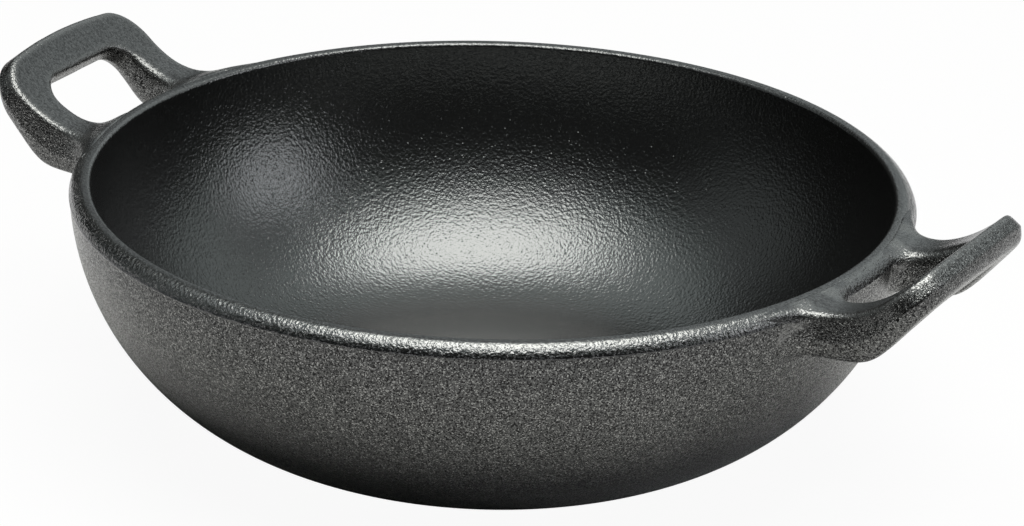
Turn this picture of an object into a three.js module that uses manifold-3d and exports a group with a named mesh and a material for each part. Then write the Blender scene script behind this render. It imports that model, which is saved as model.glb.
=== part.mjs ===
// Cast iron wok: a round bowl on a flat base, with a lipped rim and two upswept loop handles.
// Millimetres, +Z up. The origin is the centre of the base's underside, and the handles lie along X.
// The real wok is one casting. Each mesh here is one section of it, cut where the casting changes form.
import * as THREE from "three";
import { mergeVertices } from "three/addons/utils/BufferGeometryUtils.js";
import Module from "manifold-3d";

// Bowl
const rimDiameter = 300; // over the lip
const height = 90; // from the resting face to the top of the rim
const baseDiameter = 160; // flat resting face
const baseThickness = 5.5;
const wallThickness = 4.5; // where the wall leaves the floor; it thickens towards the rim
const rimWidth = 8; // top of the rim, across
const lipHeight = 5.5;
const lipProjection = 1.2; // how far the lip stands out from the wall below it
const lipRounding = 3; // outer top edge of the rim
const mouthRounding = 1.5; // inner top edge of the rim

// Handles
const handleReach = 35; // from the lip to the upper edge of the grip
const handleRise = 22; // from the root of an arm to the upper edge of the grip
const handleDrop = 2.2; // from the top of the rim down to the root of an arm
const handleWidth = 83; // over both arms
const handleCorner = 16; // outer corners, in the plane of the grip
const armDepth = 15.5; // at the root
const armHeel = 14; // level stretch of an arm's underside, from the lip outwards
const rootFlare = 8; // how far an arm spreads along the lip, and the reach of that spread
const gripThickness = 10.5;
const gripBow = 2; // how far the middle of the grip stands out past its ends
const gripRounding = 4; // lower outer edge of the grip
const gripWidth = 9; // seen from above
const fingerWidth = 53; // clear space between the arms
const fingerCorner = 9; // corners of the finger opening beside the grip
const fingerLean = THREE.MathUtils.degToRad(40); // the opening leans outwards below the grip

// Sections
const sectionGap = 0.3; // between a handle's sections, and between the arms and the bowl

// Smoothness of the round stretches
const stepsAround = 96;
const stepsAlongWall = 9;
const stepsPerCorner = 4;

const rimRadius = rimDiameter / 2;
const baseRadius = baseDiameter / 2;
const mouthRadius = rimRadius - rimWidth;
const wallTopRadius = rimRadius - lipProjection;
const lipLevel = height - lipHeight;
const halfWidth = handleWidth / 2;
const halfFinger = fingerWidth / 2;
const rootX = rimRadius - rimWidth / 2; // the handle is drawn from inside the rim and trimmed to the bowl
const rootZ = height - handleDrop;
const undersideZ = rootZ - armDepth;
const tipX = rimRadius + handleReach;
const tipZ = rootZ + handleRise;
const tipSlope = Math.atan2(2 * handleRise, handleReach);

const wasm = await Module();
wasm.setup();

// A circle in the bowl's profile that is upright at the rim and passes through a point `depth` below it.
function wallCircle(topRadius, lowRadius, depth) {
  const centre =
    (topRadius ** 2 - lowRadius ** 2 - depth ** 2) / (2 * (topRadius - lowRadius));
  return { centre, radius: topRadius - centre };
}

function radiusAt(circle, z) {
  return circle.centre + Math.sqrt(circle.radius ** 2 - (height - z) ** 2);
}

// Points along a wall circle between two levels, evenly spaced in angle.
function wallPoints(circle, fromZ, toZ, steps) {
  const angleAt = (z) => Math.asin((height - z) / circle.radius);
  const first = angleAt(fromZ);
  const last = angleAt(toZ);
  const points = [];
  for (let i = 0; i <= steps; i++) {
    const angle = first + ((last - first) * i) / steps;
    points.push(
      new THREE.Vector2(
        circle.centre + circle.radius * Math.cos(angle),
        height - circle.radius * Math.sin(angle),
      ),
    );
  }
  return points;
}

function cornerPoints(centreX, centreY, radius, fromAngle, toAngle) {
  const corner = new THREE.EllipseCurve(centreX, centreY, radius, radius, fromAngle, toAngle);
  return corner.getPoints(stepsPerCorner);
}

const outerCircle = wallCircle(wallTopRadius, baseRadius, height);
const outerFloorRadius = radiusAt(outerCircle, baseThickness);
const wallSlope = (outerFloorRadius - outerCircle.centre) / outerCircle.radius;
const floorRadius = outerFloorRadius - wallThickness / wallSlope;
const innerCircle = wallCircle(mouthRadius, floorRadius, height - baseThickness);

function baseProfile() {
  return [
    new THREE.Vector2(0, 0),
    ...wallPoints(outerCircle, 0, baseThickness, stepsPerCorner),
    new THREE.Vector2(0, baseThickness),
  ];
}

function wallProfile() {
  const outside = wallPoints(outerCircle, baseThickness, lipLevel, stepsAlongWall);
  const inside = wallPoints(innerCircle, lipLevel, baseThickness, stepsAlongWall);
  return [...outside, ...inside, outside[0]];
}

function rimProfile() {
  const outer = Math.min(lipRounding, lipHeight, rimWidth / 2);
  const inner = Math.min(mouthRounding, lipHeight, rimWidth / 2);
  const start = new THREE.Vector2(radiusAt(innerCircle, lipLevel), lipLevel);
  return [
    start,
    new THREE.Vector2(rimRadius, lipLevel),
    ...cornerPoints(rimRadius - outer, height - outer, outer, 0, Math.PI / 2),
    ...cornerPoints(mouthRadius + inner, height - inner, inner, Math.PI / 2, Math.PI),
    start,
  ];
}

// The space that the bowl takes beside the handles, with the gap that the arms keep to it.
function bowlClearanceProfile() {
  const low = height - handleDrop - armDepth - handleReach;
  const grown = { centre: outerCircle.centre, radius: outerCircle.radius + sectionGap };
  return [
    new THREE.Vector2(0, low),
    ...wallPoints(grown, low, lipLevel - sectionGap, stepsAlongWall),
    new THREE.Vector2(rimRadius + sectionGap, lipLevel - sectionGap),
    new THREE.Vector2(rimRadius + sectionGap, height + sectionGap),
    new THREE.Vector2(0, height + sectionGap),
  ];
}

function turned(profile) {
  return new THREE.LatheGeometry(profile, stepsAround).rotateX(Math.PI / 2);
}

function solidOf(geometry) {
  const bare = geometry.clone();
  bare.deleteAttribute("normal");
  bare.deleteAttribute("uv");
  const merged = mergeVertices(bare);
  return new wasm.Manifold(
    new wasm.Mesh({
      numProp: 3,
      vertProperties: new Float32Array(merged.attributes.position.array),
      triVerts: new Uint32Array(merged.index.array),
    }),
  );
}

function geometryOf(solid) {
  const { vertProperties, triVerts } = solid.getMesh();
  const geometry = new THREE.BufferGeometry();
  geometry.setAttribute("position", new THREE.BufferAttribute(vertProperties, 3));
  geometry.setIndex(new THREE.BufferAttribute(triVerts, 1));
  geometry.computeVertexNormals();
  return geometry;
}

function extruded(shape, depth) {
  return new THREE.ExtrudeGeometry(shape, {
    depth,
    bevelEnabled: false,
    curveSegments: stepsAlongWall,
  });
}

// The handle from the side: level at the rim, sweeping up to a grip that ends square to its slope.
function sideShape() {
  const alongGrip = new THREE.Vector2(Math.cos(tipSlope), Math.sin(tipSlope));
  const throughGrip = new THREE.Vector2(alongGrip.y, -alongGrip.x);
  const lowTip = new THREE.Vector2(tipX, tipZ).addScaledVector(throughGrip, gripThickness);
  const rounding = Math.min(gripRounding, gripThickness / 2);
  const roundFrom = lowTip.clone().addScaledVector(alongGrip, -rounding);
  const roundTo = lowTip.clone().addScaledVector(throughGrip, -rounding);
  const bendX = lowTip.x - (lowTip.y - undersideZ) / Math.tan(tipSlope);
  const heelX = Math.min(rimRadius + armHeel, bendX);
  return new THREE.Shape()
    .moveTo(rootX, undersideZ)
    .lineTo(heelX, undersideZ)
    .quadraticCurveTo(bendX, undersideZ, roundFrom.x, roundFrom.y)
    .quadraticCurveTo(lowTip.x, lowTip.y, roundTo.x, roundTo.y)
    .lineTo(tipX, tipZ)
    .quadraticCurveTo(rimRadius + handleReach / 2, rootZ, rimRadius, rootZ)
    .lineTo(rootX, rootZ);
}

// The spread of the arms along the lip, seen from above.
function flareShape() {
  const spreadX = rimRadius + rootFlare;
  const spreadY = halfWidth + rootFlare;
  return new THREE.Shape()
    .moveTo(rootX, -spreadY)
    .quadraticCurveTo(rimRadius, -halfWidth, spreadX, -halfWidth)
    .lineTo(spreadX, halfWidth)
    .quadraticCurveTo(rimRadius, halfWidth, rootX, spreadY);
}

// A prism with two round corners, leaning about Y. The middle of its bowed end stands at (edgeX, edgeZ).
function leaningPrism(edgeX, edgeZ, half, cornerRadius, bow, lean) {
  const length = 2 * (edgeX - rootX + armDepth);
  const corner = Math.min(cornerRadius, half);
  const straight = half - corner;
  const shape = new THREE.Shape()
    .moveTo(-bow, straight)
    .quadraticCurveTo(bow, 0, -bow, -straight)
    .absarc(-bow - corner, -straight, corner, 0, -Math.PI / 2, true)
    .lineTo(-length, -half)
    .lineTo(-length, half)
    .absarc(-bow - corner, straight, corner, Math.PI / 2, 0, true);
  const depth = 2 * length;
  return extruded(shape, depth)
    .translate(0, 0, -depth / 2)
    .rotateY(-lean)
    .translate(edgeX, 0, edgeZ);
}

function fingerOpening() {
  const edgeX = tipX - gripWidth;
  const share = (edgeX - rimRadius) / handleReach;
  const edgeZ = rootZ + handleRise * share ** 2;
  return leaningPrism(edgeX, edgeZ, halfFinger, fingerCorner, 0, fingerLean);
}

// A block as wide as asked along Y that takes in everything a handle can reach along X and Z.
function slab(fromY, toY) {
  const reach = 2 * (tipX + gripThickness);
  const tall = 2 * (height + handleRise + handleReach);
  return solidOf(
    new THREE.BoxGeometry(reach, toY - fromY, tall).translate(
      reach / 2,
      (fromY + toY) / 2,
      0,
    ),
  );
}

// The three sections of the handle that points along +X.
function handleSections() {
  const wide = halfWidth + rootFlare;
  const band = solidOf(
    extruded(sideShape(), 2 * wide).rotateX(Math.PI / 2).translate(0, wide, 0),
  );
  const outline = solidOf(
    leaningPrism(tipX, tipZ, halfWidth, handleCorner, gripBow, tipSlope),
  );
  const flare = solidOf(extruded(flareShape(), height));
  const bowl = solidOf(turned(bowlClearanceProfile()));
  const loop = band
    .intersect(outline.add(flare))
    .subtract(solidOf(fingerOpening()))
    .subtract(bowl);
  const cutY = halfFinger - sectionGap;
  return {
    front_arm: loop.intersect(slab(-wide, -cutY - sectionGap)),
    rear_arm: loop.intersect(slab(cutY + sectionGap, wide)),
    grip: loop.intersect(slab(-cutY, cutY)),
  };
}

const castIron = { color: 0x2a2c2e, roughness: 0.55, metalness: 0.4 };
const smoothIron = { color: 0x45484a, roughness: 0.5, metalness: 0.4 };

function section(name, geometry, finish) {
  const mesh = new THREE.Mesh(geometry, new THREE.MeshStandardMaterial(finish));
  mesh.name = name;
  return mesh;
}

const wok = new THREE.Group();
wok.name = "cast_iron_wok";
wok.add(section("base_disc", turned(baseProfile()), castIron));
wok.add(section("bowl_wall", turned(wallProfile()), castIron));
wok.add(section("rim_lip", turned(rimProfile()), smoothIron));

const sides = { right: 0, left: Math.PI };
const sections = handleSections();
for (const [side, turn] of Object.entries(sides)) {
  const handle = new THREE.Group();
  handle.name = `${side}_handle`;
  for (const [part, solid] of Object.entries(sections)) {
    handle.add(section(`${side}_handle_${part}`, geometryOf(solid), smoothIron));
  }
  handle.rotation.z = turn;
  wok.add(handle);
}

export default wok;
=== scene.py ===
import math
import bpy
from mathutils import Matrix, Vector


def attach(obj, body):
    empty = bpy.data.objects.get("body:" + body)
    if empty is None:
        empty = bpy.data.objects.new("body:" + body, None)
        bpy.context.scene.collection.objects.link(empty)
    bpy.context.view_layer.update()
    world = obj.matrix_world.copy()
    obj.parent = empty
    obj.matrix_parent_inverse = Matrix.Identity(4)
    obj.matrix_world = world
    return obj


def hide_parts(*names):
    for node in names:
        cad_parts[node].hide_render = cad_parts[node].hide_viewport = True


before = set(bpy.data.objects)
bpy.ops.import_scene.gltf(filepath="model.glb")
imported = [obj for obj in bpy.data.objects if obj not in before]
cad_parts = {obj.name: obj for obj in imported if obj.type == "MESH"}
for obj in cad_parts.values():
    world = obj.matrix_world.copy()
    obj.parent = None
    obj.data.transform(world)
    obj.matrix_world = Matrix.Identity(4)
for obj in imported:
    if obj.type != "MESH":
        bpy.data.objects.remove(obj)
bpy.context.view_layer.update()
scene = bpy.context.scene
scene.view_settings.view_transform = "Standard"
print("frame loaded with", len(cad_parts), "sections of the casting")


# Node sums written as plain sums: a Field is a node's output socket.
class Field:
    def __init__(self, tree, socket):
        self.tree = tree
        self.socket = socket

    def maths(self, operation, *others):
        return maths(self.tree, operation, self, *others)

    def __add__(self, other):
        return self.maths("ADD", other)

    def __sub__(self, other):
        return self.maths("SUBTRACT", other)

    def __rsub__(self, other):
        return maths(self.tree, "SUBTRACT", other, self)

    def __mul__(self, other):
        return self.maths("MULTIPLY", other)

    def __truediv__(self, other):
        return self.maths("DIVIDE", other)

    def __rtruediv__(self, other):
        return maths(self.tree, "DIVIDE", other, self)

    def __neg__(self):
        return self.maths("MULTIPLY", -1.0)

    def least(self, other):
        return self.maths("MINIMUM", other)

    def most(self, other):
        return self.maths("MAXIMUM", other)

    def squared(self):
        return self.maths("MULTIPLY", self)

    def root(self):
        return self.maths("SQRT")

    __radd__ = __add__
    __rmul__ = __mul__


def feed(tree, value, socket):
    if isinstance(value, Field):
        tree.links.new(value.socket, socket)
    else:
        socket.default_value = value


def maths(tree, operation, *values):
    node = tree.nodes.new("ShaderNodeMath")
    node.operation = operation
    for value, socket in zip(values, node.inputs):
        feed(tree, value, socket)
    return Field(tree, node.outputs[0])


# One node with its inputs filled in by name.
def place(tree, kind, settings=None, **inputs):
    node = tree.nodes.new(kind)
    for key, value in (settings or {}).items():
        setattr(node, key, value)
    for key, value in inputs.items():
        feed(tree, value, node.inputs[key.replace("_", " ")])
    return node


def ramp(tree, value, low, high, toLow=0.0, toHigh=1.0, smooth=True):
    node = tree.nodes.new("ShaderNodeMapRange")
    node.interpolation_type = "SMOOTHSTEP" if smooth else "LINEAR"
    for number, socket in zip((value, low, high, toLow, toHigh), node.inputs):
        feed(tree, number, socket)
    return Field(tree, node.outputs[0])


blendPerRadius = 1.76  # blend distance of a smooth maximum or minimum that gives a radius of 1


# What two solids share, with the edge where they meet rounded to a radius.
def roundedEdge(tree, first, second, radius):
    return maths(tree, "SMOOTH_MAX", first, second, radius * blendPerRadius)


# Two solids joined, with the corner between them filled to a radius.
def filledCorner(tree, first, second, radius):
    return maths(tree, "SMOOTH_MIN", first, second, radius * blendPerRadius)


def addSockets(tree, direction, sockets):
    for name, (kind, value) in sockets.items():
        socket = tree.interface.new_socket(name, in_out=direction, socket_type=kind)
        if value is not None:
            socket.default_value = value


# Runs a node tree on a new object and keeps its result as a plain mesh.
def meshFromTree(name, tree, values):
    holder = bpy.data.objects.new(name, bpy.data.meshes.new(name))
    scene.collection.objects.link(holder)
    modifier = holder.modifiers.new("shape", "NODES")
    modifier.node_group = tree
    for item in tree.interface.items_tree:
        if item.in_out == "INPUT" and item.name in values:
            modifier[item.identifier] = values[item.name]
    holder.update_tag()
    shaped = holder.evaluated_get(bpy.context.evaluated_depsgraph_get())
    mesh = bpy.data.meshes.new_from_object(shaped)
    holder.modifiers.remove(modifier)
    holder.data = mesh
    mesh.name = name
    print(name, "has", len(mesh.polygons), "faces")
    return holder


# Camera, at the photograph's angle
cameraView = {
    "azimuth": math.radians(29.2),
    "elevation": math.radians(22.30),
    "roll": math.radians(1.65),
    "distance": 1.7795,  # to the centre of the rim
    "aimRight": 0.0066,
    "aimDown": 0.02955,
    "lens": 175.8,
}


def addCamera(view):
    sideways = Vector((math.cos(view["azimuth"]), math.sin(view["azimuth"]), 0))
    level = Vector((math.sin(view["azimuth"]), -math.cos(view["azimuth"]), 0))
    back = level * math.cos(view["elevation"]) + Vector((0, 0, math.sin(view["elevation"])))
    turn = Matrix.Rotation(view["roll"], 3, back)
    right = turn @ sideways
    up = back.cross(right)
    rimCentre = Vector((0, 0, bowl["height"]))
    spot = rimCentre + back * view["distance"] + right * view["aimRight"] - up * view["aimDown"]
    data = bpy.data.cameras.new("photoCamera")
    data.sensor_fit = "HORIZONTAL"
    data.sensor_width = 36
    data.lens = view["lens"]
    data.clip_start = 0.01
    camera = bpy.data.objects.new("photoCamera", data)
    camera.matrix_world = Matrix.Translation(spot) @ Matrix((right, up, back)).transposed().to_4x4()
    scene.collection.objects.link(camera)
    scene.camera = camera


# Iron finishes
def grainGroup():
    tree = bpy.data.node_groups.new("castGrain", "ShaderNodeTree")
    addSockets(tree, "INPUT", {
        "Grain Size": ("NodeSocketFloat", 0.0005),
        "Bump Size": ("NodeSocketFloat", 0.0008),
        "Lump Size": ("NodeSocketFloat", 0.006),
        "Lump Share": ("NodeSocketFloat", 0.1),
    })
    addSockets(tree, "OUTPUT", {
        "Height": ("NodeSocketFloat", None),
        "Rise": ("NodeSocketFloat", None),
        "Grain": ("NodeSocketFloat", None),
    })
    given = tree.nodes.new("NodeGroupInput")
    result = tree.nodes.new("NodeGroupOutput")
    spot = Field(tree, tree.nodes.new("ShaderNodeTexCoord").outputs["Object"])
    bumpSize = Field(tree, given.outputs["Bump Size"])
    lumpSize = Field(tree, given.outputs["Lump Size"])
    grainSize = Field(tree, given.outputs["Grain Size"])
    cells = place(tree, "ShaderNodeTexVoronoi", Vector=spot, Scale=1 / grainSize)
    pick = place(tree, "ShaderNodeSeparateColor", Color=Field(tree, cells.outputs["Color"]))
    fine = place(tree, "ShaderNodeTexNoise", Vector=spot, Scale=1 / bumpSize, Detail=2.0, Roughness=0.5)
    lumps = place(tree, "ShaderNodeTexNoise", Vector=spot, Scale=1 / lumpSize, Detail=1.0, Roughness=0.5)
    rise = Field(tree, fine.outputs[0])
    swell = (Field(tree, lumps.outputs[0]) - 0.5) * lumpSize * Field(tree, given.outputs["Lump Share"])
    height = (rise - 0.5) * bumpSize + swell
    feed(tree, height, result.inputs["Height"])
    feed(tree, rise, result.inputs["Rise"])
    feed(tree, Field(tree, pick.outputs[0]), result.inputs["Grain"])
    return tree


def pitGroup():
    tree = bpy.data.node_groups.new("castPits", "ShaderNodeTree")
    addSockets(tree, "INPUT", {
        "Spacing": ("NodeSocketFloat", 0.02),
        "Pit Size": ("NodeSocketFloat", 0.0008),
        "Flat Core": ("NodeSocketFloat", 0.6),
        "Share": ("NodeSocketFloat", 0.5),
    })
    addSockets(tree, "OUTPUT", {"Pit": ("NodeSocketFloat", None)})
    given = tree.nodes.new("NodeGroupInput")
    result = tree.nodes.new("NodeGroupOutput")
    spot = Field(tree, tree.nodes.new("ShaderNodeTexCoord").outputs["Object"])
    spacing = Field(tree, given.outputs["Spacing"])
    cells = place(tree, "ShaderNodeTexVoronoi", Vector=spot, Scale=1 / spacing)
    pick = place(tree, "ShaderNodeSeparateColor", Color=Field(tree, cells.outputs["Color"]))
    reach = Field(tree, given.outputs["Pit Size"]) / spacing
    core = reach * Field(tree, given.outputs["Flat Core"])
    hole = ramp(tree, Field(tree, cells.outputs["Distance"]), core, reach, 1.0, 0.0)
    chosen = Field(tree, pick.outputs[0]).maths("LESS_THAN", Field(tree, given.outputs["Share"]))
    feed(tree, hole * chosen, result.inputs["Pit"])
    return tree


def attribute(tree, name):
    node = tree.nodes.new("ShaderNodeAttribute")
    node.attribute_name = name
    return Field(tree, node.outputs["Fac"])


def mixed(tree, share, first, second, kind="FLOAT"):
    node = tree.nodes.new("ShaderNodeMix")
    node.data_type = kind
    sockets = [s for s in node.inputs if s.enabled]
    for value, socket in zip((share, first, second), sockets):
        feed(tree, value, socket)
    return Field(tree, next(s for s in node.outputs if s.enabled))


ironLook = {
    "outsideTone": (0.098, 0.099, 0.097, 1),
    # painted shade: the darker tone given to the sand's hollows and pocks
    "hollowPaintedShade": (0.012, 0.012, 0.012, 1),
    "saltTone": (0.33, 0.33, 0.32, 1),
    "liningTone": (0.098, 0.100, 0.099, 1),
    "topTone": (0.098, 0.099, 0.099, 1),
    # painted shade: darker tone in the hollows of the rim top's grain
    "topHollowPaintedShade": (0.050, 0.051, 0.051, 1),
    "lipTone": (0.090, 0.091, 0.092, 1),
    "edgeTone": (0.20, 0.20, 0.195, 1),
    # painted shade: near-black tone inside the cast pits
    "pitPaintedShade": (0.004, 0.004, 0.004, 1),
    "outsideMetal": 0.90,
    "topMetal": 0.85,
    "liningMetal": 0.92,
    "wornMetal": 0.50,
    "outsideRoughness": 0.13,
    "hollowRoughness": 0.36,
    "liningRoughness": 0.20,
    "wornRoughness": 0.15,  # floor of the bowl
    "topRoughness": 0.26,
    "raisedRange": (0.38, 0.56),  # of the sand's rise, from hollow to raised
    "saltRange": (0.78, 0.97),  # of the grains' own values, from plain to pale
    "topRange": (0.36, 0.6),
    "pockShade": 0.7,
    "topShade": 0.8,
    "edgeShade": 0.7,
    "outsideGrain": 0.00037,
    "outsideBump": 0.0006,
    "outsideDepth": 0.26,
    "lipBump": 0.0011,
    "lipDepth": 0.42,
    "liningBump": 0.0011,
    "liningDepth": 0.22,
    "wornDepth": 0.06,
    "topDepth": 0.20,
    "lumpSize": 0.006,
    "lumpShare": 0.04,
    "pockSpacing": 0.0010,
    "pockSize": 0.00034,
    "pockDepth": 0.00020,
    "pockShare": 0.6,
    "poreSpacing": 0.0014,
    "poreSize": 0.00042,
    "poreDepth": 0.00010,
    "poreShare": 0.40,
    "pitSpacing": 0.016,
    "pitSize": 0.0009,
    "pitDepth": 0.0006,
    "pitShare": 0.40,
}
handleLook = dict(ironLook)
handleLook.update({  # the handles come from a coarser sand
    "outsideTone": (0.125, 0.126, 0.123, 1),
    "outsideDepth": 0.32,
    "outsideRoughness": 0.22,
    "pockDepth": 0.0003,
    "pockShare": 0.8,
})


def ironMaterial(name, look):
    material = bpy.data.materials.new(name)
    material.use_nodes = True
    tree = material.node_tree
    shader = tree.nodes["Principled BSDF"]
    inside = attribute(tree, "inside")
    top = attribute(tree, "smoothTop")
    edge = attribute(tree, "edge")
    bare = attribute(tree, "bare")
    worn = attribute(tree, "worn")

    def skin(bumpSize):
        return place(tree, "ShaderNodeGroup", {"node_tree": grain}, Grain_Size=look["outsideGrain"],
                     Bump_Size=bumpSize, Lump_Size=look["lumpSize"], Lump_Share=look["lumpShare"])

    def holes(kind, **shape):
        node = place(tree, "ShaderNodeGroup", {"node_tree": pitting}, Spacing=look[kind + "Spacing"],
                     Pit_Size=look[kind + "Size"], Share=look[kind + "Share"], **shape)
        return Field(tree, node.outputs["Pit"])

    sand = skin(look["outsideBump"])
    lining = skin(look["liningBump"])
    lip = skin(look["lipBump"])
    pit = holes("pit") * (1 - inside) * (1 - top)
    pock = holes("pock") * (1 - inside) * (1 - top)
    pore = holes("pore", Flat_Core=0.0) * (1 - worn)

    # Tone: sand grain outside, with painted shade in its hollows, pocks and pits; one even film inside
    raised = ramp(tree, Field(tree, sand.outputs["Rise"]), *look["raisedRange"])
    salt = ramp(tree, Field(tree, sand.outputs["Grain"]), *look["saltRange"])
    # painted shade: the lower the sand lies, the darker its tone
    tone = mixed(tree, raised, look["hollowPaintedShade"], look["outsideTone"], "RGBA")
    tone = mixed(tree, salt, tone, look["saltTone"], "RGBA")
    # painted shade: the pocks take the hollows' darker tone
    tone = mixed(tree, pock * look["pockShade"], tone, look["hollowPaintedShade"], "RGBA")
    # painted shade: the rim top is darker where its bump lies low
    topRise = ramp(tree, Field(tree, lip.outputs["Rise"]), *look["topRange"])
    topWithHollowShade = mixed(tree, topRise, look["topHollowPaintedShade"], look["topTone"], "RGBA")
    tone = mixed(tree, top * look["topShade"], tone, topWithHollowShade, "RGBA")
    tone = mixed(tree, bare, tone, look["lipTone"], "RGBA")
    tone = mixed(tree, edge * look["edgeShade"], tone, look["edgeTone"], "RGBA")
    # painted shade: the pits are coloured near black
    tone = mixed(tree, pit, tone, look["pitPaintedShade"], "RGBA")
    feed(tree, mixed(tree, inside, tone, look["liningTone"], "RGBA"), shader.inputs["Base Color"])

    metal = mixed(tree, top, look["outsideMetal"], look["topMetal"])
    lined = mixed(tree, worn, look["liningMetal"], look["wornMetal"])
    feed(tree, mixed(tree, inside.most(bare), metal, lined), shader.inputs["Metallic"])
    grainy = mixed(tree, raised, look["hollowRoughness"], look["outsideRoughness"])
    grainy = mixed(tree, bare, grainy, look["outsideRoughness"])
    roughness = mixed(tree, top, grainy, look["topRoughness"])
    lined = mixed(tree, worn, look["liningRoughness"], look["wornRoughness"])
    feed(tree, mixed(tree, inside, roughness, lined), shader.inputs["Roughness"])

    lipHeight = Field(tree, lip.outputs["Height"])
    sandHeight = mixed(tree, top, Field(tree, sand.outputs["Height"]) * look["outsideDepth"],
                       lipHeight * look["topDepth"])
    outsideHeight = mixed(tree, edge.most(bare), sandHeight, lipHeight * look["lipDepth"])
    outsideHeight = outsideHeight - pit * look["pitDepth"] - pock * look["pockDepth"]
    liningDepth = mixed(tree, worn, look["liningDepth"], look["wornDepth"])
    liningHeight = Field(tree, lining.outputs["Height"]) * liningDepth - pore * look["poreDepth"]
    height = mixed(tree, inside, outsideHeight, liningHeight)
    bump = place(tree, "ShaderNodeBump", Strength=1.0, Distance=1.0, Height=height)
    feed(tree, Field(tree, bump.outputs[0]), shader.inputs["Normal"])
    return material


grain = grainGroup()
pitting = pitGroup()
bowlIron = ironMaterial("bowlIron", ironLook)
handleIron = ironMaterial("handleIron", handleLook)
print("iron finishes ready")


# Bowl: a profile turned round the upright axis
bowl = {
    "rimRadius": 0.1508,
    "height": 0.090,
    "baseRadius": 0.080,
    "floorThickness": 0.0055,
    "wallThickness": 0.0045,  # beside the floor
    "rimWidth": 0.008,
    "lipHeight": 0.0046,
    "lipProjection": 0.0003,
    "lipLean": math.radians(26),  # of the lip's side, in towards the top
    "bevelWidth": 0.0040,
    "bevelDrop": 0.0022,
    "bevelSoftness": 0.0012,
    "lipCrease": 0.0008,  # half height of the soft line under the lip
    "lipUnderside": 0.0002,  # how far the middle of that line lies below the lip
    "creaseReach": 0.0001,  # how far its corner lies out from the wall
    "mouthRounding": 0.0015,
    "floorFillet": 0.060,
    "wornFrom": 0.75,  # share of the way round that fillet where the worn floor begins
    "footStart": 0.97,  # share of the base radius where the foot starts to round up
    "footRise": 0.0006,
    "wallStart": 0.001,
    "stepsAround": 320,
    "stepsAlongWall": 60,
    "stepsAlongFillet": 16,
    "stepsAtMouth": 8,
    "stepsPerBend": 6,
    "stepsPerCrease": 4,
}


# A circle in the profile that is upright at the rim and passes through a lower point.
def wallCircle(topRadius, lowRadius, depth):
    centre = (topRadius ** 2 - lowRadius ** 2 - depth ** 2) / (2 * (topRadius - lowRadius))
    return centre, topRadius - centre


def arcPoints(centreX, centreZ, radius, fromAngle, toAngle, steps):
    points = []
    for step in range(steps + 1):
        angle = fromAngle + (toAngle - fromAngle) * step / steps
        points.append((centreX + radius * math.cos(angle), centreZ + radius * math.sin(angle)))
    return points


def softCorner(start, corner, end, steps):
    points = []
    for step in range(steps + 1):
        t = step / steps
        weights = ((1 - t) ** 2, 2 * t * (1 - t), t ** 2)
        points.append(tuple(sum(w * p[i] for w, p in zip(weights, (start, corner, end))) for i in (0, 1)))
    return points


wallCentre, wallRadius = wallCircle(
    bowl["rimRadius"] - bowl["lipProjection"], bowl["baseRadius"], bowl["height"])


def wallAngle(z):
    return -math.asin((bowl["height"] - z) / wallRadius)


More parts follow.
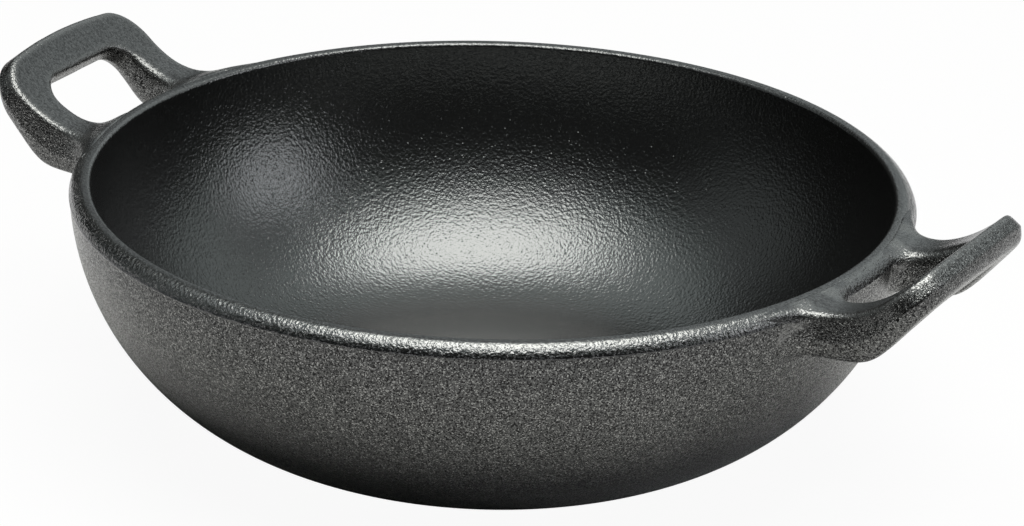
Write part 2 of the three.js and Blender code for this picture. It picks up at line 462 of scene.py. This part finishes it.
# Profile points from the centre of the underside, over the rim, to the centre of the floor.
# Each has its radius, its height, and shares of inside skin, smooth top, edge, bare lip and worn floor.
def bowlProfile():
    rim = bowl["rimRadius"]
    top = bowl["height"]
    mouth = rim - bowl["rimWidth"]
    lipLevel = top - bowl["lipHeight"]
    floor = bowl["floorThickness"]
    profile = []

    def add(points, inside=0.0, smoothTop=0.0, edge=0.0, bare=0.0, worn=0.0):
        for x, z in points:
            profile.append((x, z, inside, smoothTop, edge, bare, worn))

    bendSteps = bowl["stepsPerBend"]
    flatShares = (0, 0.25, 0.5, 0.75, 0.9)
    base = bowl["baseRadius"]
    footAngle = wallAngle(bowl["footRise"])
    foot = arcPoints(wallCentre, top, wallRadius, footAngle, footAngle, 1)[0]
    add([(base * share, 0) for share in flatShares])
    add(softCorner((base * bowl["footStart"], 0), (base, 0), foot, bendSteps))
    crease = bowl["lipCrease"]
    wallEnds = wallAngle(bowl["wallStart"]), wallAngle(lipLevel - crease)
    add(arcPoints(wallCentre, top, wallRadius, *wallEnds, bowl["stepsAlongWall"]))
    wallTop = profile[-1][0]
    lean = bowl["lipLean"]
    under = ((wallTop + rim) / 2, lipLevel - bowl["lipUnderside"])
    lipLow = (rim - crease * math.tan(lean), lipLevel + crease)
    creaseCorner = (wallTop + bowl["creaseReach"], lipLevel)
    creaseSteps = bowl["stepsPerCrease"]
    add(softCorner((wallTop, lipLevel - crease), creaseCorner, under, creaseSteps)[1:])
    add(softCorner(under, (rim, lipLevel), lipLow, creaseSteps)[1:], bare=1)
    # side, bevel and flat top of the lip
    sideHeight = bowl["lipHeight"] - bowl["bevelDrop"]
    sideTop = (rim - sideHeight * math.tan(lean), lipLevel + sideHeight)
    flat = (rim - bowl["bevelWidth"], top)
    soft = bowl["bevelSoftness"]
    span = math.dist(sideTop, flat)
    fall = [(sideTop[i] - flat[i]) / span for i in (0, 1)]
    sideStart = (sideTop[0] + soft * math.sin(lean), sideTop[1] - soft * math.cos(lean))
    bevelLow = tuple(sideTop[i] - soft * fall[i] for i in (0, 1))
    bevelHigh = tuple(flat[i] + soft * fall[i] for i in (0, 1))
    add(softCorner(sideStart, sideTop, bevelLow, bendSteps), edge=0.6, bare=1)
    turnIn = softCorner(bevelHigh, flat, (flat[0] - soft, top), bendSteps)
    for step, point in enumerate(turnIn):
        share = step / bendSteps
        add([point], smoothTop=share, edge=1 - share, bare=0.8 - 0.8 * share)
    inner = bowl["mouthRounding"]
    add([((flat[0] - soft + mouth + inner) / 2, top)], smoothTop=1)
    mouthSteps = bowl["stepsAtMouth"]
    lip = arcPoints(mouth + inner, top - inner, inner, math.pi / 2, math.pi, mouthSteps)
    for step, point in enumerate(lip):
        share = step / mouthSteps
        add([point], inside=share, smoothTop=1 - share, edge=0.5 * math.sin(math.pi * share))

    outerFloor = wallCentre + math.sqrt(wallRadius ** 2 - (top - floor) ** 2)
    slope = (outerFloor - wallCentre) / wallRadius
    floorRadius = outerFloor - bowl["wallThickness"] / slope
    innerCentre, innerRadius = wallCircle(mouth, floorRadius, top - floor)
    fillet = bowl["floorFillet"]
    drop = top - floor - fillet
    filletX = innerCentre + math.sqrt((innerRadius - fillet) ** 2 - drop ** 2)
    meeting = -math.asin(drop / (innerRadius - fillet))
    start = -math.asin(inner / innerRadius)
    add(arcPoints(innerCentre, top, innerRadius, start, meeting, bowl["stepsAlongWall"])[1:], inside=1)
    filletSteps = bowl["stepsAlongFillet"]
    bend = arcPoints(filletX, floor + fillet, fillet, meeting, -math.pi / 2, filletSteps)[1:]
    for step, point in enumerate(bend):
        share = step / (filletSteps - 1)
        add([point], inside=1, worn=max(0, (share - bowl["wornFrom"]) / (1 - bowl["wornFrom"])))
    add([(filletX * share, floor) for share in reversed(flatShares)], inside=1, worn=1)
    return profile


def profileObject(profile):
    mesh = bpy.data.meshes.new("bowlProfile")
    # the turning path's own up is down
    points = [(x - bowl["rimRadius"], -z, 0) for x, z, *shares in profile]
    mesh.from_pydata(points, [(i, i + 1) for i in range(len(points) - 1)], [])
    for column, name in enumerate(("inside", "smoothTop", "edge", "bare", "worn"), 2):
        values = [row[column] for row in profile]
        mesh.attributes.new(name, "FLOAT", "POINT").data.foreach_set("value", values)
    holder = bpy.data.objects.new("bowlProfile", mesh)
    scene.collection.objects.link(holder)
    return holder


def turnedTree():
    tree = bpy.data.node_groups.new("turnedBowl", "GeometryNodeTree")
    addSockets(tree, "INPUT", {
        "Profile": ("NodeSocketObject", None),
        "Turning Radius": ("NodeSocketFloat", 0.15),
        "Steps Around": ("NodeSocketInt", 96),
        "Iron": ("NodeSocketMaterial", None),
    })
    addSockets(tree, "OUTPUT", {"Bowl": ("NodeSocketGeometry", None)})
    given = tree.nodes.new("NodeGroupInput")
    result = tree.nodes.new("NodeGroupOutput")
    drawn = place(tree, "GeometryNodeObjectInfo", Object=Field(tree, given.outputs["Profile"]))
    section = place(tree, "GeometryNodeMeshToCurve", Mesh=Field(tree, drawn.outputs["Geometry"]))
    path = place(tree, "GeometryNodeCurvePrimitiveCircle",
                 Resolution=Field(tree, given.outputs["Steps Around"]),
                 Radius=Field(tree, given.outputs["Turning Radius"]))
    swept = place(tree, "GeometryNodeCurveToMesh", Curve=Field(tree, path.outputs["Curve"]),
                  Profile_Curve=Field(tree, section.outputs["Curve"]))
    # the ends of the profile meet at the two poles
    closed = place(tree, "GeometryNodeMergeByDistance", Geometry=Field(tree, swept.outputs["Mesh"]),
                   Distance=0.00002)
    outward = place(tree, "GeometryNodeFlipFaces", Mesh=Field(tree, closed.outputs[0]))
    smooth = place(tree, "GeometryNodeSetShadeSmooth", Geometry=Field(tree, outward.outputs[0]))
    real = place(tree, "GeometryNodeRealizeInstances", Geometry=Field(tree, smooth.outputs[0]))
    skin = place(tree, "GeometryNodeSetMaterial", Geometry=Field(tree, real.outputs[0]),
                 Material=Field(tree, given.outputs["Iron"]))
    feed(tree, Field(tree, skin.outputs[0]), result.inputs["Bowl"])
    return tree


drawnProfile = profileObject(bowlProfile())
wokBowl = meshFromTree("wok_bowl", turnedTree(), {
    "Profile": drawnProfile,
    "Turning Radius": bowl["rimRadius"],
    "Steps Around": bowl["stepsAround"],
    "Iron": bowlIron,
})
bpy.data.objects.remove(drawnProfile)


# Handles: one loop shape, grown as a solid field and turned to each side
handle = {
    "Reach": 0.0358,
    "Rise": 0.0214,
    "Drop": 0.0016,  # root of an arm below the top of the rim
    "Half Width": 0.0430,
    "Corner": 0.0135,
    "Arm Depth": 0.0166,
    "Heel Softness": 0.0055,
    "Grip Thickness": 0.0105,
    "Grip Bow": 0.002,
    "Grip Width": 0.0107,
    "Half Finger": 0.0246,
    "Finger Corner": 0.009,
    "Finger Lean": math.radians(40),
    "Parting": 0.58,  # share of the depth above the parting line
    "Side Draft": 0.23,  # above the parting line
    "End Draft": 0.0,
    "Hole Draft": 0.10,
    "Grip Draft": 0.6,  # below the parting line, at the grip and at the root
    "Root Draft": 0.25,
    "Top Edge": 0.0019,
    "Bottom Edge": 0.0022,
    "Hole Edge": 0.0022,  # at the grip
    "Arm Edge": 0.0038,
    "Root Flare": 0.0105,
    "Root Crease": 0.0034,
    "Unevenness": 0.0003,
}
# How the loop meets the bowl, how its finish is spread and how finely it is grown: rarely changed
handleFitting = {
    "lipRounding": 1.15,  # of the bevel's width
    "sinkRange": (0.006, 0.020),  # distance from the loop over which its skin sinks into the bowl
    "sinkDepths": (0.0003, 0.0013),
    "skinDepth": 0.0015,  # kept under the bowl's skin
    "topClearance": 0.0003,  # under the top of the rim
    "topSteepness": 4.0,
    "flareReach": 1.8,  # of the root flare
    "mouthDepth": 0.0055,
    "mouthDrop": 0.006,
    "holeEdgeRange": (-0.012, -0.001),  # along the finger opening, from the arm's edge to the grip's
    "rippleScale": 90.0,
    "levelRange": (0.28, 1.0),  # of the upward share of the normal
    "lipSideRange": (0.0015, 0.006),
    "lipFootBelow": 0.0008,
    "lipFootAbove": 0.0004,
    "edgeRange": (-0.0035, -0.0005),
    "topRange": (-0.0014, -0.0004),
    "lowCorner": (0.136, -0.062, 0.056),  # box that the handle is grown in
    "highCorner": (0.196, 0.062, 0.114),
    "steps": (120, 248, 116),  # half a millimetre each
}


def handleTree():
    tree = bpy.data.node_groups.new("loopHandle", "GeometryNodeTree")
    sizes = dict(handle)
    sizes.update({
        "Rim Radius": bowl["rimRadius"],
        "Rim Height": bowl["height"],
        "Lip Height": bowl["lipHeight"],
        "Lip Rounding": bowl["bevelWidth"] * handleFitting["lipRounding"],
        "Wall Centre": wallCentre,
        "Wall Radius": wallRadius,
        "Turn": 0.0,
        "Seed": 0.0,
    })
    addSockets(tree, "INPUT", {name: ("NodeSocketFloat", value) for name, value in sizes.items()})
    addSockets(tree, "INPUT", {"Iron": ("NodeSocketMaterial", None)})
    addSockets(tree, "OUTPUT", {"Handle": ("NodeSocketGeometry", None)})
    given = tree.nodes.new("NodeGroupInput")
    result = tree.nodes.new("NodeGroupOutput")
    size = {name: Field(tree, given.outputs[name]) for name in sizes}
    position = tree.nodes.new("GeometryNodeInputPosition")
    axes = place(tree, "ShaderNodeSeparateXYZ", Vector=Field(tree, position.outputs[0]))
    x, y, z = (Field(tree, socket) for socket in axes.outputs)
    across = y.maths("ABSOLUTE")

    rootZ = size["Rim Height"] - size["Drop"]
    tipX = size["Rim Radius"] + size["Reach"]
    tipZ = rootZ + size["Rise"]
    slope = maths(tree, "ARCTAN2", size["Rise"] * 2.0, size["Reach"])
    rise = slope.maths("SINE")
    run = slope.maths("COSINE")
    along = (x - tipX) * run + (z - tipZ) * rise
    above = (z - tipZ) * run - (x - tipX) * rise

    # Upper face: level at the rim, then sweeping up
    share = (x - size["Rim Radius"]).most(0.0) / size["Reach"]
    sheet = rootZ + size["Rise"] * share.squared()
    steep = size["Rise"] * share * 2.0 / size["Reach"]
    upper = (z - sheet) / (steep.squared() + 1.0).root()
    # Underside: level to the heel, then up along the grip
    heel = rootZ - size["Arm Depth"] - z
    lower = roundedEdge(tree, -above - size["Grip Thickness"], heel, size["Heel Softness"])

    # Outline in the plane of the grip, drafted above and below the parting line
    below = lower * size["Parting"] - upper * (1.0 - size["Parting"])
    lowDraft = size["Root Draft"] + (size["Grip Draft"] - size["Root Draft"]) * share.least(1.0)
    drafted = below.most(0.0) * lowDraft
    sideDraft = drafted - below.least(0.0) * size["Side Draft"]
    endDraft = drafted - below.least(0.0) * size["End Draft"]
    holeDraft = drafted - below.least(0.0) * size["Hole Draft"]
    straight = size["Half Width"] - size["Corner"]
    bowed = along + (across / straight).squared() * size["Grip Bow"]

    # Distance to a strip's rounded end: how far past its end and past its side, and its corner
    def roundedEnd(end, side, corner):
        cornerX = end + corner
        cornerY = side + corner
        outer = (cornerX.most(0.0).squared() + cornerY.most(0.0).squared()).root()
        return outer + cornerX.most(cornerY).least(0.0) - corner

    loop = roundedEnd(bowed + endDraft, across - size["Half Width"] + sideDraft, size["Corner"])
    # Finger opening
    edgeX = tipX - size["Grip Width"]
    edgeShare = (edgeX - size["Rim Radius"]) / size["Reach"]
    edgeZ = rootZ + size["Rise"] * edgeShare.squared()
    lean = size["Finger Lean"]
    fingers = (x - edgeX) * lean.maths("COSINE") + (z - edgeZ) * lean.maths("SINE")
    ring = -roundedEnd(fingers - endDraft, across - size["Half Finger"] - holeDraft, size["Finger Corner"])

    # Bowl beside the handle, drawn a little small so that the handle's skin sinks into it
    out = (x.squared() + y.squared()).root()
    fromCentre = ((out - size["Wall Centre"]).squared() + (size["Rim Height"] - z).squared()).root()
    wall = fromCentre - size["Wall Radius"]
    lip = (out - size["Rim Radius"]).most(size["Rim Height"] - size["Lip Height"] - z)
    sides = loop.most(ring)
    sink = ramp(tree, sides, *handleFitting["sinkRange"], *handleFitting["sinkDepths"])
    outerSide = wall.least(lip) + sink
    iron = roundedEdge(tree, outerSide, z - size["Rim Height"] + sink, size["Lip Rounding"])

    body = filledCorner(tree, loop, outerSide, size["Root Flare"])
    body = roundedEdge(tree, body, filledCorner(tree, upper, iron, size["Root Crease"]), size["Top Edge"])
    body = roundedEdge(tree, body, filledCorner(tree, lower, iron, size["Root Crease"]), size["Bottom Edge"])
    holeEdge = ramp(tree, fingers, *handleFitting["holeEdgeRange"], size["Arm Edge"], size["Hole Edge"])
    body = roundedEdge(tree, body, filledCorner(tree, ring, outerSide, size["Root Flare"]), holeEdge)
    # the rim's own top stays clear
    pastFlat = (out - size["Rim Radius"] + size["Lip Rounding"]).most(0.0)
    clear = z - size["Rim Height"] + handleFitting["topClearance"] - pastFlat * handleFitting["topSteepness"]
    body = body.most(clear)
    ripple = place(tree, "ShaderNodeTexNoise", {"noise_dimensions": "4D"}, W=size["Seed"],
                   Scale=handleFitting["rippleScale"], Detail=1.0)
    body = body + (Field(tree, ripple.outputs[0]) - 0.5) * size["Unevenness"]
    # What lies deep in the bowl, far from the loop or under the mouth is left off
    far = sides.most(upper).most(lower) - size["Root Flare"] * handleFitting["flareReach"]
    mouthSide = size["Rim Radius"] - handleFitting["mouthDepth"] - out
    mouth = mouthSide.least(z - size["Rim Height"] + handleFitting["mouthDrop"])
    solid = body.most(-iron - handleFitting["skinDepth"]).most(far).most(mouth)

    stepsX, stepsY, stepsZ = handleFitting["steps"]
    cube = place(tree, "GeometryNodeVolumeCube", Density=-solid, Background=-1.0,
                 Min=handleFitting["lowCorner"], Max=handleFitting["highCorner"],
                 Resolution_X=stepsX, Resolution_Y=stepsY, Resolution_Z=stepsZ)
    shell = place(tree, "GeometryNodeVolumeToMesh", Volume=Field(tree, cube.outputs[0]), Threshold=0.0)
    # Finish: smooth tops and worn edges, and beside the arms the same as the lip of the bowl
    normal = tree.nodes.new("GeometryNodeInputNormal")
    facing = place(tree, "ShaderNodeSeparateXYZ", Vector=Field(tree, normal.outputs[0]))
    level = ramp(tree, Field(tree, facing.outputs["Z"]), *handleFitting["levelRange"])
    lipFoot = size["Rim Height"] - size["Lip Height"]
    onLip = ramp(tree, z, lipFoot - handleFitting["lipFootBelow"], lipFoot + handleFitting["lipFootAbove"])
    lipShare = ramp(tree, sides, *handleFitting["lipSideRange"]) * onLip
    loopEdge = ramp(tree, upper + sides, *handleFitting["edgeRange"])
    edge = mixed(tree, lipShare, loopEdge, level * (1.0 - level) * 4.0)
    loopTop = ramp(tree, upper, *handleFitting["topRange"])
    topShare = mixed(tree, lipShare, loopTop, (level * 2.0 - 1.0).most(0.0))
    bare = lipShare * (1.0 - level * 0.5)
    marked = Field(tree, shell.outputs[0])
    for name, value in (("edge", edge), ("smoothTop", topShare), ("bare", bare)):
        store = place(tree, "GeometryNodeStoreNamedAttribute", {"data_type": "FLOAT", "domain": "POINT"},
                      Geometry=marked, Name=name, Value=value)
        marked = Field(tree, store.outputs[0])
    spin = place(tree, "ShaderNodeCombineXYZ", Z=size["Turn"])
    turned = place(tree, "GeometryNodeTransform", Geometry=marked, Rotation=Field(tree, spin.outputs[0]))
    smooth = place(tree, "GeometryNodeSetShadeSmooth", Geometry=Field(tree, turned.outputs[0]))
    real = place(tree, "GeometryNodeRealizeInstances", Geometry=Field(tree, smooth.outputs[0]))
    skin = place(tree, "GeometryNodeSetMaterial", Geometry=Field(tree, real.outputs[0]),
                 Material=Field(tree, given.outputs["Iron"]))
    feed(tree, Field(tree, skin.outputs[0]), result.inputs["Handle"])
    return tree


loopHandle = handleTree()
handles = {}
for side, turn, seed in (("right", 0.0, 1.0), ("left", math.pi, 4.0)):
    handles[side] = meshFromTree(side + "_handle", loopHandle, {
        "Turn": turn,
        "Seed": seed,
        "Iron": handleIron,
    })


# Pieces on the frame
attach(wokBowl, "root")
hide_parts("base_disc", "bowl_wall", "rim_lip")
for side, piece in handles.items():
    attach(piece, "root")
    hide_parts(*(f"{side}_handle_{part}" for part in ("front_arm", "rear_arm", "grip")))
print("bowl and handles ride on the frame")


# Studio: white floor and backdrop, a large soft light overhead, dark on the camera's side
studio = {
    "floorSize": 6.0,
    "floorLevel": -0.0004,
    "floorFront": 0.6,  # from the wok to the table's edge on the camera's side
    "floorColour": (0.93, 0.93, 0.93, 1),
    "floorGlow": 0.94,  # share of the floor that the camera sees without shadow
    "shadowReach": 0.16,
    "whiteReach": 0.36,
    "overhead": {
        "spot": (0.173, -0.144, 1.8),
        "size": (1.80, 1.28),
        "power": 35.5,
        "colour": (1, 0.997, 0.96),
    },
    "rightSide": {
        "spot": (1.10, 0.36, 0.60),
        "size": (0.6, 0.7),
        "power": 2.5,
        "colour": (0.95, 0.97, 1),
    },
    "lampAim": (0, 0, 0.05),
    # past 1, these two only steepen the change to white: the room's strength stops at 1
    "ceiling": 2.6,
    "backdrop": 1.45,
    "ceilingRange": (0.60, 1.0),  # of the upward share of a direction
    "backdropTurn": math.radians(40),  # to the right of straight behind the wok
    "backdropRange": (0.45, 0.95),  # of the share of a direction towards the backdrop
    "backdropFoot": (0.05, 0.42),
    "sideWalls": 0.30,
    "sideWallsFront": (-0.5, 0.0),  # of the share of a direction away from the camera
    "sideWallsBack": (0.3, 0.6),
    "skyTint": (0.92, 1.0, 1.01, 1),
    "roomGrey": 0.02,
}


def addFloor():
    half = studio["floorSize"] / 2
    mesh = bpy.data.meshes.new("floor")
    front = -studio["floorFront"]
    turn = Matrix.Rotation(cameraView["azimuth"], 3, "Z")
    outline = ((-half, front), (half, front), (half, half), (-half, half))
    corners = [turn @ Vector((x, y, studio["floorLevel"])) for x, y in outline]
    mesh.from_pydata(corners, [], [(0, 1, 2, 3)])
    floor = bpy.data.objects.new("floor", mesh)
    scene.collection.objects.link(floor)
    material = bpy.data.materials.new("whiteFloor")
    material.use_nodes = True
    tree = material.node_tree
    tree.nodes.remove(tree.nodes["Principled BSDF"])
    light = tree.nodes.new("ShaderNodeLightPath")
    mirror = maths(tree, "MAXIMUM", Field(tree, light.outputs["Is Glossy Ray"]),
                   Field(tree, light.outputs["Is Transmission Ray"]))
    # in the iron's reflections the floor keeps the shadow round the wok and turns white farther out
    spot = Field(tree, tree.nodes.new("ShaderNodeTexCoord").outputs["Object"])
    distance = place(tree, "ShaderNodeVectorMath", {"operation": "LENGTH"}, Vector=spot)
    reached = Field(tree, distance.outputs["Value"])
    farther = ramp(tree, reached, studio["shadowReach"], studio["whiteReach"])
    seen = (Field(tree, light.outputs["Is Camera Ray"]) * studio["floorGlow"]).most(mirror * farther)
    matt = place(tree, "ShaderNodeBsdfDiffuse", Color=studio["floorColour"])
    glow = place(tree, "ShaderNodeEmission", Color=(1, 1, 1, 1), Strength=1.0)
    blend = tree.nodes.new("ShaderNodeMixShader")
    feed(tree, seen, blend.inputs[0])
    tree.links.new(matt.outputs[0], blend.inputs[1])
    tree.links.new(glow.outputs[0], blend.inputs[2])
    tree.links.new(blend.outputs[0], tree.nodes["Material Output"].inputs["Surface"])
    mesh.materials.append(material)


def addLamp(name):
    lamp = studio[name]
    data = bpy.data.lights.new(name, "AREA")
    data.shape = "ELLIPSE"
    data.size, data.size_y = lamp["size"]
    data.energy = lamp["power"]
    data.color = lamp["colour"]
    holder = bpy.data.objects.new(name, data)
    spot = Vector(lamp["spot"])
    aim = Vector(studio["lampAim"]) - spot
    turn = aim.to_track_quat("-Z", "Y").to_matrix().to_4x4()
    holder.matrix_world = Matrix.Translation(spot) @ turn
    scene.collection.objects.link(holder)


def addWorld():
    world = bpy.data.worlds.new("studioRoom")
    world.use_nodes = True
    tree = world.node_tree
    light = tree.nodes.new("ShaderNodeLightPath")
    toward = Field(tree, tree.nodes.new("ShaderNodeTexCoord").outputs["Generated"])
    look = place(tree, "ShaderNodeSeparateXYZ", Vector=toward)
    x, y, z = (Field(tree, socket) for socket in look.outputs)
    # the backdrop stands behind the wok, away from the camera, and a pale ceiling hangs above
    away = y * math.cos(cameraView["azimuth"]) - x * math.sin(cameraView["azimuth"])
    turned = cameraView["azimuth"] - studio["backdropTurn"]
    facing = y * math.cos(turned) - x * math.sin(turned)
    behind = ramp(tree, facing, *studio["backdropRange"]) * studio["backdrop"]
    behind = behind * ramp(tree, z, *studio["backdropFoot"])
    beside = ramp(tree, away, *studio["sideWallsFront"]) * studio["sideWalls"]
    beside = beside * ramp(tree, away, *studio["sideWallsBack"], 1.0, 0.0)
    above = ramp(tree, z, *studio["ceilingRange"]) * studio["ceiling"]
    mirror = maths(tree, "MAXIMUM", Field(tree, light.outputs["Is Glossy Ray"]),
                   Field(tree, light.outputs["Is Transmission Ray"]))
    room = behind.most(beside).most(above)
    cameraRay = Field(tree, light.outputs["Is Camera Ray"])
    white = cameraRay.most(mirror * room)
    shade = ramp(tree, white, 0.0, 1.0, studio["roomGrey"], 1.0, smooth=False)
    feed(tree, shade, tree.nodes["Background"].inputs["Strength"])
    tint = mixed(tree, cameraRay, studio["skyTint"], (1, 1, 1, 1), "RGBA")
    feed(tree, tint, tree.nodes["Background"].inputs["Color"])
    scene.world = world


addFloor()
for lampName in ("overhead", "rightSide"):
    addLamp(lampName)
addWorld()
addCamera(cameraView)
print("studio and camera set")
